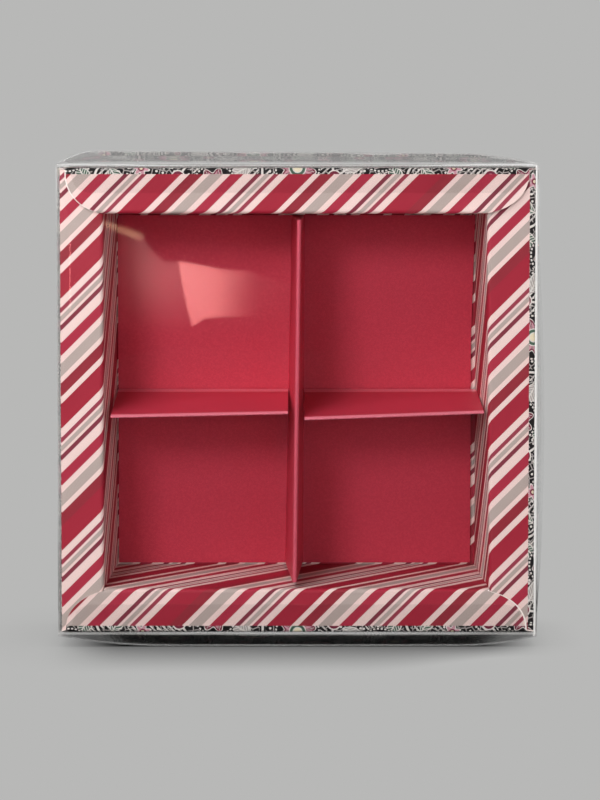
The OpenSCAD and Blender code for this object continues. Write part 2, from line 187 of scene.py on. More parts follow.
@dataclass
class Surface:
    """A new node material with the object coordinates in millimetres."""

    name: str

    def __post_init__(self) -> None:
        """Makes the empty material."""
        self.material = bpy.data.materials.new(self.name)
        self.material.use_nodes = True
        self.tree = self.material.node_tree
        self.tree.nodes.clear()
        self.place = add_node(self.tree, "ShaderNodeTexCoord").outputs["Object"]
        axes = add_node(self.tree, "ShaderNodeSeparateXYZ", {}, {0: self.place})
        self.x, self.y, self.z = (Field(self.tree, axes.outputs[i]) * (1 / MM) for i in range(3))

    def whitening_and_highlight(self) -> Field:
        """Gives how far the mesh marks a place: real whitening at the clear case's creases, and painted highlights on
        lit folds and cut edges.
        """
        mark = add_node(self.tree, "ShaderNodeAttribute", {"attribute_name": WHITENING_AND_HIGHLIGHT})
        return Field(self.tree, mark.outputs["Fac"])

    def mottle(self, size_mm: float, detail: float = 2.0) -> Field:
        """Gives a soft noise whose spots have a real size."""
        noise = add_node(self.tree, "ShaderNodeTexNoise", {}, {
            "Vector": self.place, "Scale": 1 / (size_mm * MM), "Detail": detail})
        return Field(self.tree, noise.outputs[0])

    def grain(self, size_mm: float, height_mm: float) -> bpy.types.NodeSocket:
        """Gives the normal of fine bumps, such as those of pressed paper fibres."""
        bump = add_node(self.tree, "ShaderNodeBump", {}, {
            "Strength": 0.6, "Distance": height_mm * MM, "Height": self.mottle(size_mm, 3.0).socket})
        return bump.outputs["Normal"]

    def ramp(self, share: Field, stops: list[tuple[float, str]], stepped: bool) -> bpy.types.NodeSocket:
        """Turns a field into colours.

        Args:
            share: The field, from 0 to 1.
            stops: Rising positions with their hex colours.
            stepped: True for bands with sharp edges, False for soft changes.

        Returns:
            The colour.
        """
        node = add_node(self.tree, "ShaderNodeValToRGB", {}, {0: share.socket})
        node.color_ramp.interpolation = "CONSTANT" if stepped else "LINEAR"
        elements = node.color_ramp.elements
        for index, (position, colour) in enumerate(stops):
            stop = elements[index] if index < 2 else elements.new(position)
            stop.position = position
            stop.color = linear(colour)
        return node.outputs["Color"]

    def layers(self, ground: "str | bpy.types.NodeSocket",
               *coats: tuple[Field, "str | bpy.types.NodeSocket"]) -> bpy.types.NodeSocket:
        """Lays colours over each other.

        Args:
            ground: The lowest colour, as hex code or node output.
            coats: A mask and a colour each, from the lowest to the highest.

        Returns:
            The colour that shows.
        """
        shown = linear(ground) if isinstance(ground, str) else ground
        for mask, coat in coats:
            over = linear(coat) if isinstance(coat, str) else coat
            node = add_node(self.tree, "ShaderNodeMix", {"data_type": "RGBA"}, {0: mask.socket, 6: shown, 7: over})
            shown = node.outputs[2]
        return shown

    def finish(self, shader: bpy.types.NodeSocket) -> bpy.types.Material:
        """Links the surface's shader and gives the finished material."""
        add_node(self.tree, "ShaderNodeOutputMaterial", {}, {"Surface": shader})
        return self.material

    def finish_principled(self, colour: bpy.types.NodeSocket, **inputs: object) -> bpy.types.Material:
        """Finishes the material with a Principled shader.

        Args:
            colour: The base colour.
            inputs: The shader's other inputs, with underscores for spaces.

        Returns:
            The material.
        """
        values = {name.replace("_", " "): value for name, value in inputs.items()}
        shader = add_node(self.tree, "ShaderNodeBsdfPrincipled", {}, {"Base Color": colour, **values})
        return self.finish(shader.outputs[0])


@dataclass(frozen=True)
class ArtPrint:
    """Offset print on coated card: rosettes, leaves and white line work on near black, under a satin lacquer."""

    ground: str = "1B1718"
    white: str = "D9D3CE"
    grey: str = "A59E9B"
    burgundy: str = "74243A"
    pink: str = "C7919E"
    green: str = "4A6353"
    yellow: str = "E3D6B8"
    shrink: float = 1.4
    turn_deg: float = 14.0
    tile: float = 35.6
    rosette: float = 9.2
    line: float = 0.5

    def draw(self, surface: Surface, u: Field, v: Field) -> bpy.types.NodeSocket:
        """Draws the print.

        Args:
            surface: The material that it is drawn in.
            u: Distance along the side of the tray in millimetres.
            v: Distance across the card in millimetres.

        Returns:
            The colour.
        """
        along = math.cos(math.radians(self.turn_deg)) * self.shrink
        across = math.sin(math.radians(self.turn_deg)) * self.shrink
        u, v = u * along + v * across, v * along - u * across
        column = ((u + self.tile / 2) * (1 / self.tile)).math("FLOOR")
        x = u.tiled(self.tile)
        y = (v + column.math("FLOORED_MODULO", 2.0) * (self.tile / 2)).tiled(self.tile)
        return surface.layers(
            self.ground, *self.lace(surface, u, v), *self.stems(u, v), *self.leaves(x, y), *self.star(x, y),
            *self.flower(x, y))

    def lace(self, surface: Surface, u: Field, v: Field) -> list[tuple[Field, str]]:
        """Draws the fine net and the dots of the ground."""
        cell = 3.4
        spot = add_node(surface.tree, "ShaderNodeCombineXYZ", {}, {0: u.socket, 1: v.socket})
        look = {"Vector": spot.outputs[0], "Scale": 1 / cell, "Randomness": 0.7}
        net = add_node(surface.tree, "ShaderNodeTexVoronoi",
                       {"feature": "DISTANCE_TO_EDGE", "voronoi_dimensions": "2D"}, look)
        dots = add_node(surface.tree, "ShaderNodeTexVoronoi", {"feature": "F1", "voronoi_dimensions": "2D"}, look)
        edge = Field(surface.tree, net.outputs["Distance"])
        spots = Field(surface.tree, dots.outputs["Distance"])
        hatch = (u + v * 0.6).tiled(2.4).size().below(0.42)
        patch = surface.mottle(6.0, 0.0).above(0.52)
        return [(hatch * patch, self.white), (edge.below(0.07), self.grey), (spots.below(0.17), self.white)]

    def stems(self, u: Field, v: Field) -> list[tuple[Field, str]]:
        """Draws a wavy stem between the columns, with a ring in each of its bends."""
        beside = (u - self.tile / 2).tiled(self.tile)
        wave = (v * (2 * math.pi / self.tile)).math("SINE") * 2.6
        stem = (beside - wave).size()
        bead = beside.hypot(v.tiled(self.tile / 2))
        return [(stem.below(1.5), self.ground), (stem.below(0.55), self.white), (bead.below(3.4), self.white),
                (bead.below(2.8), self.burgundy), (bead.below(1.5), self.pink), (bead.below(0.8), self.yellow)]

    def leaves(self, x: Field, y: Field) -> list[tuple[Field, str]]:
        """Draws a veined leaf in each quarter round a rosette, two green and two white."""
        half_l, half_w, centre = 6.2, 3.4, 15.6
        across = x.size() - y.size()
        along = x.size() + y.size() - centre * math.sqrt(2) * 0.92
        s, w = along * math.sqrt(0.5), (across * math.sqrt(0.5)).size()
        room = (s * s) * (-half_w / half_l ** 2) + half_w
        leaf = w.below(room)
        blade = w.below(room - self.line)
        veins = (s + w * 0.9).tiled(1.5).size().below(0.24)
        green = (x * y).above(0.0)
        return [(leaf, self.white), (blade, self.grey), (blade * green, self.green), (blade * veins, self.white),
                (blade * w.below(0.3), self.white)]

    def star(self, x: Field, y: Field) -> list[tuple[Field, str]]:
        """Draws a small six-petalled flower above and below each rosette."""
        up = y.size() - self.tile / 2
        away = x.hypot(up)
        turn = up.math("ARCTAN2", x)
        petal = (turn * 6.0).math("COSINE") * 0.9 + 3.4
        return [(away.below(petal + self.line), self.ground), (away.below(petal), self.white),
                (away.below(petal - 0.7), self.pink), (away.below(1.5), self.burgundy), (away.below(0.8), self.yellow)]

    def flower(self, x: Field, y: Field) -> list[tuple[Field, str]]:
        """Draws the rosette: a beaded ring, eight petals, a green collar and a yellow eye."""
        away = x.hypot(y)
        turn = y.math("ARCTAN2", x)
        petal = (turn * 8.0).math("COSINE") * 1.3 + (self.rosette - 1.3)
        vein = (turn * 8.0).math("SINE").size()
        beads = (turn * 36.0).math("COSINE").above(-0.2)
        return [(away.below(self.rosette + 1.7), self.ground), (away.below(self.rosette + 1.4) * beads, self.white),
                (away.below(self.rosette + 0.6), self.ground), (away.below(petal), self.white),
                (away.below(petal - self.line), self.burgundy), (away.below(petal - 1.6) * vein.above(0.55), self.pink),
                (away.below(petal - 1.0) * vein.below(0.12), self.white), (away.below(4.2), self.white),
                (away.below(3.7), self.green), (away.below(2.4), self.white), (away.below(1.9), self.yellow)]

    def build(self, panel: str) -> bpy.types.Material:
        """Makes the print of one outer panel of the tray.

        Args:
            panel: The value of a side, or "back".

        Returns:
            The material.
        """
        surface = Surface(f"art_print_{panel}")
        rim_y = box_mm("rim_flap_top")[0].y
        depth = surface.y * -1.0 + rim_y
        places = {"top": (surface.x, depth), "bottom": (surface.x, depth), "left": (surface.z, depth),
                  "right": (surface.z, depth), "back": (surface.x, surface.z)}
        colour = self.draw(surface, *places[panel])
        return surface.finish_principled(colour, Roughness=0.42, IOR=1.45, Specular_IOR_Level=0.35,
                                         Normal=surface.grain(0.6, 0.01))


@dataclass(frozen=True)
class StripePrint:
    """Offset-printed 45 degree stripes on coated card: flat ink with a satin lacquer."""

    wide: tuple[float, str] = (8.35, "A12236")
    gaps: tuple[float, float, float] = (3.17, 2.76, 0.3)
    merged: float = 0.35
    cream: str = "E9CDC8"
    tail: tuple[tuple[float, str], ...] = (
        (4.32, "932936"), (2.16, "E9CDC8"), (4.46, "B2A29C"), (2.6, "E9CDC8"), (4.4, "A82A40"), (4.05, "E9CDC8"),
        (1.9, "803040"), (1.2, "E9CDC8"), (1.87, "B2A29C"), (1.1, "E9CDC8"), (1.8, "98384A"), (2.95, "E9CDC8"))
    # Pale colour painted as the highlight of a rim flap's lit cut edge.
    lit_edge: str = "F7ECE7"
    orders: dict[Side, tuple[int, int, int]] = field(default_factory=lambda: {
        Side.TOP: (0, 1, 2), Side.RIGHT: (0, 1, 2), Side.BOTTOM: (2, 1, 0), Side.LEFT: (2, 1, 0)})
    starts: dict[Side, float] = field(default_factory=lambda: {
        Side.TOP: -202.3, Side.RIGHT: -45.6, Side.BOTTOM: -54.12, Side.LEFT: 106.8})
    bleeds: dict[Side, float] = field(default_factory=lambda: {
        Side.TOP: 2.1, Side.RIGHT: 2.0, Side.BOTTOM: 2.1, Side.LEFT: 0.15})
    art: ArtPrint = field(default_factory=ArtPrint)

    def build(self, side: Side) -> bpy.types.Material:
        """Makes the print of one side, which runs on over the fold into the inner wall.

        Args:
            side: The side of the rim.

        Returns:
            The material.
        """
        surface = Surface(f"stripe_print_{side.value}")
        low, high = box_mm("tray_left_wall")
        depth = surface.y - box_mm("rim_flap_top")[0].y
        height = surface.z - low.z
        joined = depth if side in (Side.TOP, Side.RIGHT) else depth * -1.0
        along = (surface.x - height if side.is_end else height - surface.x) + joined
        inward = {Side.TOP: surface.z * -1.0 + high.z, Side.BOTTOM: height,
                  Side.LEFT: surface.x - low.x, Side.RIGHT: surface.x * -1.0 - low.x}[side]
        art = self.art.draw(surface, surface.x if side.is_end else surface.z, inward - depth)
        # Over the print lies the painted highlight of the flap ends' lit cut edges.
        colour = surface.layers(self.stripes(surface, along, side), (inward.below(self.bleeds[side]), art),
                                (surface.whitening_and_highlight().above(0.3), self.lit_edge))
        return surface.finish_principled(colour, Roughness=0.5, IOR=1.45, Specular_IOR_Level=0.25,
                                         Normal=surface.grain(0.6, 0.01))

    def stripes(self, surface: Surface, along: Field, side: Side) -> bpy.types.NodeSocket:
        """Draws the stripes, whose sets differ in the gap after the wide stripe.

        Args:
            surface: The material that they are drawn in.
            along: Distance across the stripes, measured along the rim.
            side: The side of the rim, which gives the sets' order.

        Returns:
            The colour.
        """
        tail = sum(width for width, _ in self.tail)
        first, second, third = (self.wide[0] + self.gaps[number] + tail for number in self.orders[side])
        run = (along - self.starts[side]).math("WRAP", first + second + third, 0.0)
        in_second, in_third = run.above(first), run.above(first + second)
        length = in_second * (second - first) + in_third * (third - second) + first
        to_end = in_second * second + in_third * third + first - run
        edge, stops = 0.0, []
        for width, colour in reversed(self.tail):
            stops.append((edge / tail, colour))
            edge += width
        bands = surface.ramp(to_end * (1 / tail), stops, stepped=True)
        return surface.layers(bands, (to_end.above(tail + self.merged), self.cream),
                              ((length - to_end).below(self.wide[0]), self.wide[1]))


@dataclass(frozen=True)
class GreyBoard:
    """Uncoated recycled board: matt, with darker fibres."""

    light: str = "B9B1A6"
    dark: str = "978E83"

    def build(self) -> bpy.types.Material:
        """Makes the material of the tray's uncoated side."""
        surface = Surface("grey_board")
        colour = surface.ramp(surface.mottle(1.1, 5.0), [(0.35, self.dark), (0.6, self.light)], stepped=False)
        return surface.finish_principled(colour, Roughness=0.85, Normal=surface.grain(0.5, 0.03))


@dataclass(frozen=True)
class CutEdge:
    """The cut edge of card: pale fibres, slightly crushed by the die."""

    name: str
    light: str
    dark: str

    def build(self) -> bpy.types.Material:
        """Makes the material of the card's cut edges."""
        surface = Surface(self.name)
        colour = surface.ramp(surface.mottle(0.8), [(0.4, self.dark), (0.6, self.light)], stepped=False)
        return surface.finish_principled(colour, Roughness=0.8, Specular_IOR_Level=0.2,
                                         Normal=surface.grain(0.3, 0.02))


@dataclass(frozen=True)
class RedSatinCard:
    """Pearl-coated red card: a soft metallic sheen over a deep red, with a pale pink painted highlight where the mesh
    marks lit folds and edges.
    """

    deep: str = "CA3A50"
    light: str = "D23F55"
    painted_highlight: str = "F08496"

    def build(self) -> bpy.types.Material:
        """Makes the material of the insert."""
        surface = Surface("red_satin_card")
        coat = surface.ramp(surface.mottle(0.67), [(0.4, self.deep), (0.65, self.light)], stepped=False)
        # Painted highlight: the pale pink laid where the mesh marks a lit crease, nose or edge.
        colour = surface.layers(coat, (surface.whitening_and_highlight(), self.painted_highlight))
        return surface.finish_principled(colour, Metallic=0.3, Roughness=0.45, Specular_IOR_Level=0.3,
                                         Normal=surface.grain(0.4, 0.008))


@dataclass(frozen=True)
class ClearSheet:
    """Extruded clear PET sheet: almost no colour, mirror-like glare at a slant, white where the mesh marks it: real
    stress whitening at creases, and on the case's front folds and front panel edges also a painted highlight.
    """

    tint: str = "FCFCFC"
    index: float = 1.25
    grazing: float = 0.85
    wave_mm: float = 38.0

    def build(self, name: str = "clear_sheet", haze: float = 0.0) -> bpy.types.Material:
        """Makes the clear sheet's material.

        Args:
            name: The material's name.
            haze: Least share of scattered light, for a cut edge.

        Returns:
            The material.
        """
        surface = Surface(name)
        tree = surface.tree
        bump = add_node(tree, "ShaderNodeBump", {}, {
            "Strength": 0.25, "Distance": 0.4 * MM, "Height": surface.mottle(self.wave_mm, 1.0).socket})
        slant = add_node(tree, "ShaderNodeLayerWeight", {}, {"Blend": 0.5, "Normal": bump.outputs[0]})
        face_on = ((self.index - 1) / (self.index + 1)) ** 2
        share = Field(tree, slant.outputs["Facing"]).math("POWER", 5.0) * (self.grazing - face_on) + face_on
        clear = add_node(tree, "ShaderNodeBsdfTransparent", {}, {"Color": linear(self.tint)})
        gloss = add_node(tree, "ShaderNodeBsdfGlossy", {}, {
            "Color": (1, 1, 1, 1), "Roughness": 0.015, "Normal": bump.outputs[0]})
        sheet = add_node(tree, "ShaderNodeMixShader", {}, {0: share.socket, 1: clear.outputs[0], 2: gloss.outputs[0]})
        white = add_node(tree, "ShaderNodeBsdfDiffuse", {}, {"Color": linear("F4F3F1")})
        scattered = surface.whitening_and_highlight().math("MAXIMUM", haze)
        whole = add_node(tree, "ShaderNodeMixShader", {}, {0: scattered.socket, 1: sheet.outputs[0],
                                                          2: white.outputs[0]})
        return surface.finish(whole.outputs[0])


def dress(node: str, material: bpy.types.Material) -> None:
    """Gives a CAD node a material.

    Args:
        node: The node's name.
        material: The material.
    """
    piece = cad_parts[node]
    piece.data.materials.clear()
    piece.data.materials.append(material)
    log.info("dressed %s with %s", node, material.name)


def clear_selection() -> None:
    """Leaves object mode and deselects everything, so that an operator acts on new pieces alone."""
    if bpy.context.object and bpy.context.object.mode != "OBJECT":
        bpy.ops.object.mode_set(mode="OBJECT")
    bpy.ops.object.select_all(action="DESELECT")


@dataclass
class Finishes:
    """Materials of a sheet's printed face, its reverse and its cut edges."""

    face: bpy.types.Material
    reverse: bpy.types.Material
    edge: bpy.types.Material


def thicken(sheet: bpy.types.Object, thickness: float, offset: float, face_count: int = 1) -> None:
    """Gives an open sheet its thickness and dresses its reverse and cut edges.

    The sheet's last two material slots are its reverse and its edge.

    Args:
        sheet: The open sheet, whose faces point to the printed side.
        thickness: The thickness in millimetres.
        offset: -1 to grow behind the printed face, 0 to grow to both sides.
        face_count: Number of materials that the printed faces use.
    """
    printed = len(sheet.data.polygons)
    solid = sheet.modifiers.new("thickness", "SOLIDIFY")
    solid.thickness = thickness * MM
    solid.offset = offset
    solid.use_even_offset = True
    bpy.ops.object.modifier_apply(modifier=solid.name)
    for face in sheet.data.polygons:
        if face.index >= printed:
            face.material_index = face_count if face.index < 2 * printed else face_count + 1
    bpy.ops.object.shade_smooth_by_angle(angle=math.radians(SMOOTH_ANGLE_DEG))
    log.info("made %s with %d faces", sheet.name, len(sheet.data.polygons))


def delete_faces(sheet: bpy.types.Object, unwanted: Callable[[Vector, Vector], bool]) -> None:
    """Deletes the faces whose middle and normal pass a test, and what only they use."""
    bpy.ops.object.mode_set(mode="EDIT")
    bpy.ops.mesh.select_mode(type="FACE")
    bpy.ops.mesh.select_all(action="DESELECT")
    bpy.ops.object.mode_set(mode="OBJECT")
    for face in sheet.data.polygons:
        face.select = unwanted(face.center, face.normal)
    bpy.ops.object.mode_set(mode="EDIT")
    bpy.ops.mesh.delete(type="FACE")
    bpy.ops.object.mode_set(mode="OBJECT")


def moulded_sheet(name: str, places: Grid, thickness: float, finishes: Finishes, turned: bool = False,
                  whitening_and_highlight: list[list[float]] | None = None,
                  cut_out: Callable[[Vector, Vector], bool] | None = None) -> bpy.types.Object:
    """Makes a thin sheet: a grid whose points are moved to their places and which is then thickened.

    Args:
        name: The piece's name.
        places: Rows of places in millimetres, in the middle of the sheet's thickness.
        thickness: The sheet's thickness in millimetres.
        finishes: The sheet's materials.
        turned: True if the printed face lies on the other side of the grid.
        whitening_and_highlight: The mark at each place, from 0 to 1: whitening, and painted highlight on lit folds and
            edges.
        cut_out: Tells, from a face's middle and normal in metres, whether it is cut out.

    Returns:
        The sheet.
    """
    rows, columns = len(places) - 1, len(places[0]) - 1
    clear_selection()
    bpy.ops.mesh.primitive_grid_add(x_subdivisions=columns, y_subdivisions=rows, size=2.0)
    sheet = bpy.context.object
    sheet.name = name
    sheet.data.name = name
    marks = []
    for vertex in sheet.data.vertices:
        column, row = round((vertex.co.x + 1) / 2 * columns), round((vertex.co.y + 1) / 2 * rows)
        vertex.co = Vector(places[row][column]) * MM
        marks.append(whitening_and_highlight[row][column] if whitening_and_highlight else 0.0)
    sheet.data.attributes.new(WHITENING_AND_HIGHLIGHT, "FLOAT", "POINT").data.foreach_set("value", marks)
    for finish in (finishes.face, finishes.reverse, finishes.edge):
        sheet.data.materials.append(finish)
    if cut_out:
        delete_faces(sheet, cut_out)
    if turned:
        bpy.ops.object.mode_set(mode="EDIT")
        bpy.ops.mesh.select_all(action="SELECT")
        bpy.ops.mesh.flip_normals()
        bpy.ops.object.mode_set(mode="OBJECT")
    thicken(sheet, thickness, 0.0)
    return sheet


def grid_of(columns: int, rows: int, place_of: Callable[[float, float], Point]) -> Grid:
    """Gives rows of places from a function of two shares."""
    return [[place_of(i / columns, j / rows) for i in range(columns + 1)] for j in range(rows + 1)]


def hand_over(piece: bpy.types.Object, body: str, slot: str, *nodes: str) -> None:
    """Lets a piece ride on a body and stand for CAD nodes, which it hides."""
    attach(piece, body)
    if nodes:
        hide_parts(*nodes)


def blend_of(start: float, end: float, share: float) -> float:
    """Gives the value at a share of the way between two values."""
    return start + (end - start) * share


def eased(share: float) -> float:
    """Rises from 0 to 1 with a level end, as a bowed fold does."""
    return 1.0 if share >= 1 else 1 - (1 - share) ** 2


@dataclass
class FoldedLine:
    """A line of straight runs and round folds in a plane, as points with their run and bend."""

    corners: list[tuple[float, float]]
    radii: list[float]
    run_cells: list[int]
    arc_cells: int = 6
    bunched: int = -1

    def __post_init__(self) -> None:
        """Works out the points: first and second coordinate, number of the run, length so far and bend."""
        self.points: list[tuple[float, float, int, float, bool]] = []
        start = Vector(self.corners[0])
        for run in range(len(self.corners) - 1):
            corner = Vector(self.corners[run + 1])
            ahead = (corner - start).normalized()
            if run == len(self.corners) - 2:
                self.add_run(start, corner, run)
                break
            after = (Vector(self.corners[run + 2]) - corner).normalized()
            turn = ahead.angle(after)
            reach = self.radii[run] * math.tan(turn / 2)
            self.add_run(start, corner - ahead * reach, run)
            side = (after - ahead * ahead.dot(after)).normalized()
            centre = corner - ahead * reach + side * self.radii[run]
            for step in range(1, self.arc_cells):
                angle = turn * step / self.arc_cells
                at = centre + (ahead * math.sin(angle) - side * math.cos(angle)) * self.radii[run]
                self.add(at, run if step <= self.arc_cells / 2 else run + 1, True)
            start = corner + after * reach

    def add_run(self, start: Vector, end: Vector, run: int) -> None:
        """Adds the points of a straight run, closer together towards its end if it is the bunched one."""
        cells = self.run_cells[run]
        for step in range(cells + 1):
            share = step / cells
            if run == self.bunched:
                share = 1 - (1 - share) ** 1.7
            self.add(start.lerp(end, share), run, False)

    def add(self, at: Vector, run: int, bent: bool) -> None:
        """Adds a point."""
        length = 0.0
        if self.points:
            last = self.points[-1]
            length = last[3] + (at - Vector(last[:2])).length
        self.points.append((at.x, at.y, run, length, bent))


@dataclass(frozen=True)
class FlapEnd:
    """The rounded end of a rim flap, a quarter of an ellipse."""

    gap: float
    long: float
    deep: float
    start: float
    # How much of the painted cut-edge highlight this flap end takes.
    lit_edge: float
    lift: float

    def inset(self, inward: float) -> float:
        """Distance of the flap's outline from the tray's side, at a distance from its outer edge."""
        share = min(1.0, max(0.0, (inward - self.start) / self.deep))
        return self.gap + self.long * (1 - math.sqrt(1 - share ** 2))


@dataclass
class Tray:
    """The printed card tray: an outer shell, and four rim strips that fold into the inner walls."""

    card_t: float = 0.5
    lip: float = 1.7
    shell_round: float = 0.7
    outer_fold_r: float = 0.5
    inner_fold_r: float = 1.1
    foot_fold_r: float = 0.5
    feet: dict[Side, float] = field(default_factory=lambda: {
        Side.TOP: 16.4, Side.BOTTOM: 16.2, Side.LEFT: 16.4, Side.RIGHT: 17.4})
    tab: float = 12.0
    # Width of each strip's end rows, which carry the painted cut-edge highlight.
    lit_edge_w: float = 0.8
    lift_share: float = 0.16
    end_fold: dict[Side, float] = field(default_factory=lambda: {Side.TOP: 15.4, Side.BOTTOM: 14.65})
    side_fold_low: dict[Side, float] = field(default_factory=lambda: {Side.LEFT: 14.4, Side.RIGHT: 15.1})
    side_fold_high: dict[Side, float] = field(default_factory=lambda: {Side.LEFT: 14.7, Side.RIGHT: 16.3})
    flap_ends: dict[tuple[Side, Side], FlapEnd] = field(default_factory=lambda: {
        (Side.TOP, Side.LEFT): FlapEnd(1.9, 14.0, 13.2, 2.0, 0.5, 0.3),
        (Side.TOP, Side.RIGHT): FlapEnd(2.3, 16.0, 12.8, 2.3, 0.0, 0.8),
        (Side.BOTTOM, Side.LEFT): FlapEnd(1.6, 16.0, 12.6, 1.5, 0.0, 0.3),
        (Side.BOTTOM, Side.RIGHT): FlapEnd(2.4, 16.0, 12.6, 1.5, 1.0, 0.3)})
    stripes: StripePrint = field(default_factory=StripePrint)
    art: ArtPrint = field(default_factory=ArtPrint)

    def __post_init__(self) -> None:
        """Reads the tray's outer sizes from the frame."""
        low, high = box_mm("tray_left_wall")
        self.half, self.low, self.high = -low.x, low.z, high.z
        self.rim_y = box_mm("rim_flap_top")[0].y
        self.back = box_mm("tray_floor")[1].y
        self.depth = self.back - self.rim_y
        self.tab_depth = self.depth - 1.5 * self.card_t

    def build(self) -> None:
        """Builds the shell and the four rim strips."""
        self.board = GreyBoard().build()
        self.edge = CutEdge("cut_card_edge", "F2E4DE", "DCCBC4").build()
        self.build_shell()
        for side in Side:
            self.build_rim(side)

    def build_shell(self) -> None:
        """Builds the floor and the outer walls from a box without its front, with rounded edges."""
        low = Vector((-self.half, self.rim_y + self.lip, self.low))
        high = Vector((self.half, self.back, self.high))
        clear_selection()
        bpy.ops.mesh.primitive_cube_add(size=1.0, location=(low + high) / 2 * MM, scale=(high - low) * MM)
        shell = bpy.context.object
        shell.name = shell.data.name = "tray_shell"
        bpy.ops.object.transform_apply(location=True, rotation=False, scale=True)
        delete_faces(shell, lambda middle, normal: normal.y < -0.9)
        front = low.y * MM
        bpy.ops.object.mode_set(mode="EDIT")
        bpy.ops.mesh.select_mode(type="EDGE")
        bpy.ops.mesh.select_all(action="DESELECT")
        bpy.ops.object.mode_set(mode="OBJECT")
        for edge in shell.data.edges:
            edge.select = any(shell.data.vertices[i].co.y > front + self.lip * MM for i in edge.vertices)
        bpy.ops.object.mode_set(mode="EDIT")
        bpy.ops.mesh.bevel(offset=self.shell_round * MM, segments=3, affect="EDGES")
        bpy.ops.object.mode_set(mode="OBJECT")
        panels = [("back", Vector((0, 1, 0))), ("top", Vector((0, 0, 1))), ("bottom", Vector((0, 0, -1))),
                  ("left", Vector((-1, 0, 0))), ("right", Vector((1, 0, 0)))]
        for name, _ in panels:
            shell.data.materials.append(self.art.build(name))
        shell.data.materials.append(self.board)
        shell.data.materials.append(self.edge)
        for face in shell.data.polygons:
            face.material_index = max(range(len(panels)), key=lambda i: face.normal.dot(panels[i][1]))
        thicken(shell, self.card_t, -1.0, len(panels))
        hand_over(shell, "case_and_tray", "art_print", "tray_floor", "tray_top_wall", "tray_bottom_wall",
                  "tray_left_wall", "tray_right_wall")

    def fold_at(self, side: Side, up: float) -> float:
        """Distance of a side's inner fold from the tray's outer face, at a share of the tray's height."""
        if side.is_end:
            return self.end_fold[side]
        return blend_of(self.side_fold_low[side], self.side_fold_high[side], up)

    def wall_at(self, side: Side, up: float, depth: float) -> float:
        """Distance of an inner wall's face from the tray's outer face, at a depth behind the rim."""
        return blend_of(self.fold_at(side, up), self.feet[side], min(1.0, max(0.0, depth / self.tab_depth)))

    def profile(self, side: Side, up: float) -> FoldedLine:
        """Gives the fold line of a rim strip: outer wall, rim, inner wall and tab."""
        mid = self.card_t / 2
        level = mid if side.is_end else mid + self.card_t
        fold = self.fold_at(side, up) - mid
        foot = self.feet[side]
        corners = [(mid, self.lip), (mid, level), (fold, level), (foot - mid, self.tab_depth),
                   (foot + self.tab, self.tab_depth)]
        return FoldedLine(corners, [self.outer_fold_r, self.inner_fold_r, self.foot_fold_r], [2, 26, 18, 4],
                          bunched=1)

    def to_frame(self, side: Side, along: float, inward: float, depth: float) -> Point:
        """Gives the place of a point of a rim strip."""
        y = self.rim_y + depth
        return {Side.TOP: (along, y, self.high - inward), Side.BOTTOM: (along, y, self.low + inward),
                Side.LEFT: (-self.half + inward, y, along), Side.RIGHT: (self.half - inward, y, along)}[side]

    def insets(self, side: Side, point: tuple[float, float, int, float, bool]) -> tuple[float, float]:
        """Gives how far a rim strip's two ends lie inside the tray's sides at a point of its profile.

        Args:
            side: The side of the rim.
            point: The profile's point.

        Returns:
            The insets of the left or lower end and of the right or upper end.
        """
        inward, depth, run, *_ = point
        if side.is_end:
            ends = (Side.LEFT, Side.RIGHT)
            up = 1.0 if side is Side.TOP else 0.0
            walls = [self.wall_at(end, up, depth) for end in ends]
            if run >= 3:
                return tuple(wall + max(0.0, inward - self.feet[side]) for wall in walls)
            if run == 2:
                return tuple(walls)
            spread = min(1.0, max(0.0, (inward - self.card_t / 2) / self.outer_fold_r))
            outlines = [self.flap_ends[(side, end)].inset(inward) * spread for end in ends]
            return tuple(min(outline, wall) for outline, wall in zip(outlines, walls))
        ends = (Side.BOTTOM, Side.TOP)
        walls = [self.wall_at(end, 0.0, depth) for end in ends]
        if run >= 3:
            return tuple(wall + max(0.0, inward - self.feet[side]) for wall in walls)
        if run == 2:
            return tuple(walls)
        hidden_from, hidden_to, hidden = 9.5, 13.0, 13.2
        share = min(1.0, max(0.0, (inward - hidden_from) / (hidden_to - hidden_from)))
        return (blend_of(self.card_t, hidden, share), blend_of(self.card_t, hidden, share))

    def lit_edge_at(self, side: Side, share: float, point: tuple[float, float, int, float, bool]) -> float:
        """Gives how much pale painted highlight a rim flap's print takes at its cut ends, where the lit cut edge shows.
        """
        if not side.is_end or point[2] > 1 or 0.0 < share < 1.0:
            return 0.0
        return self.flap_ends[(side, Side.LEFT if share == 0.0 else Side.RIGHT)].lit_edge

    def lift_at(self, side: Side, share: float, point: tuple[float, float, int, float, bool]) -> float:
        """Gives how far a rim flap's end springs off the flange under it."""
        if not side.is_end or point[2] != 1:
            return 0.0
        end = self.flap_ends[(side, Side.LEFT if share < 0.5 else Side.RIGHT)]
        near = max(0.0, 1 - min(share, 1 - share) / self.lift_share)
        return end.lift * near ** 2 * min(1.0, point[0] / end.deep)

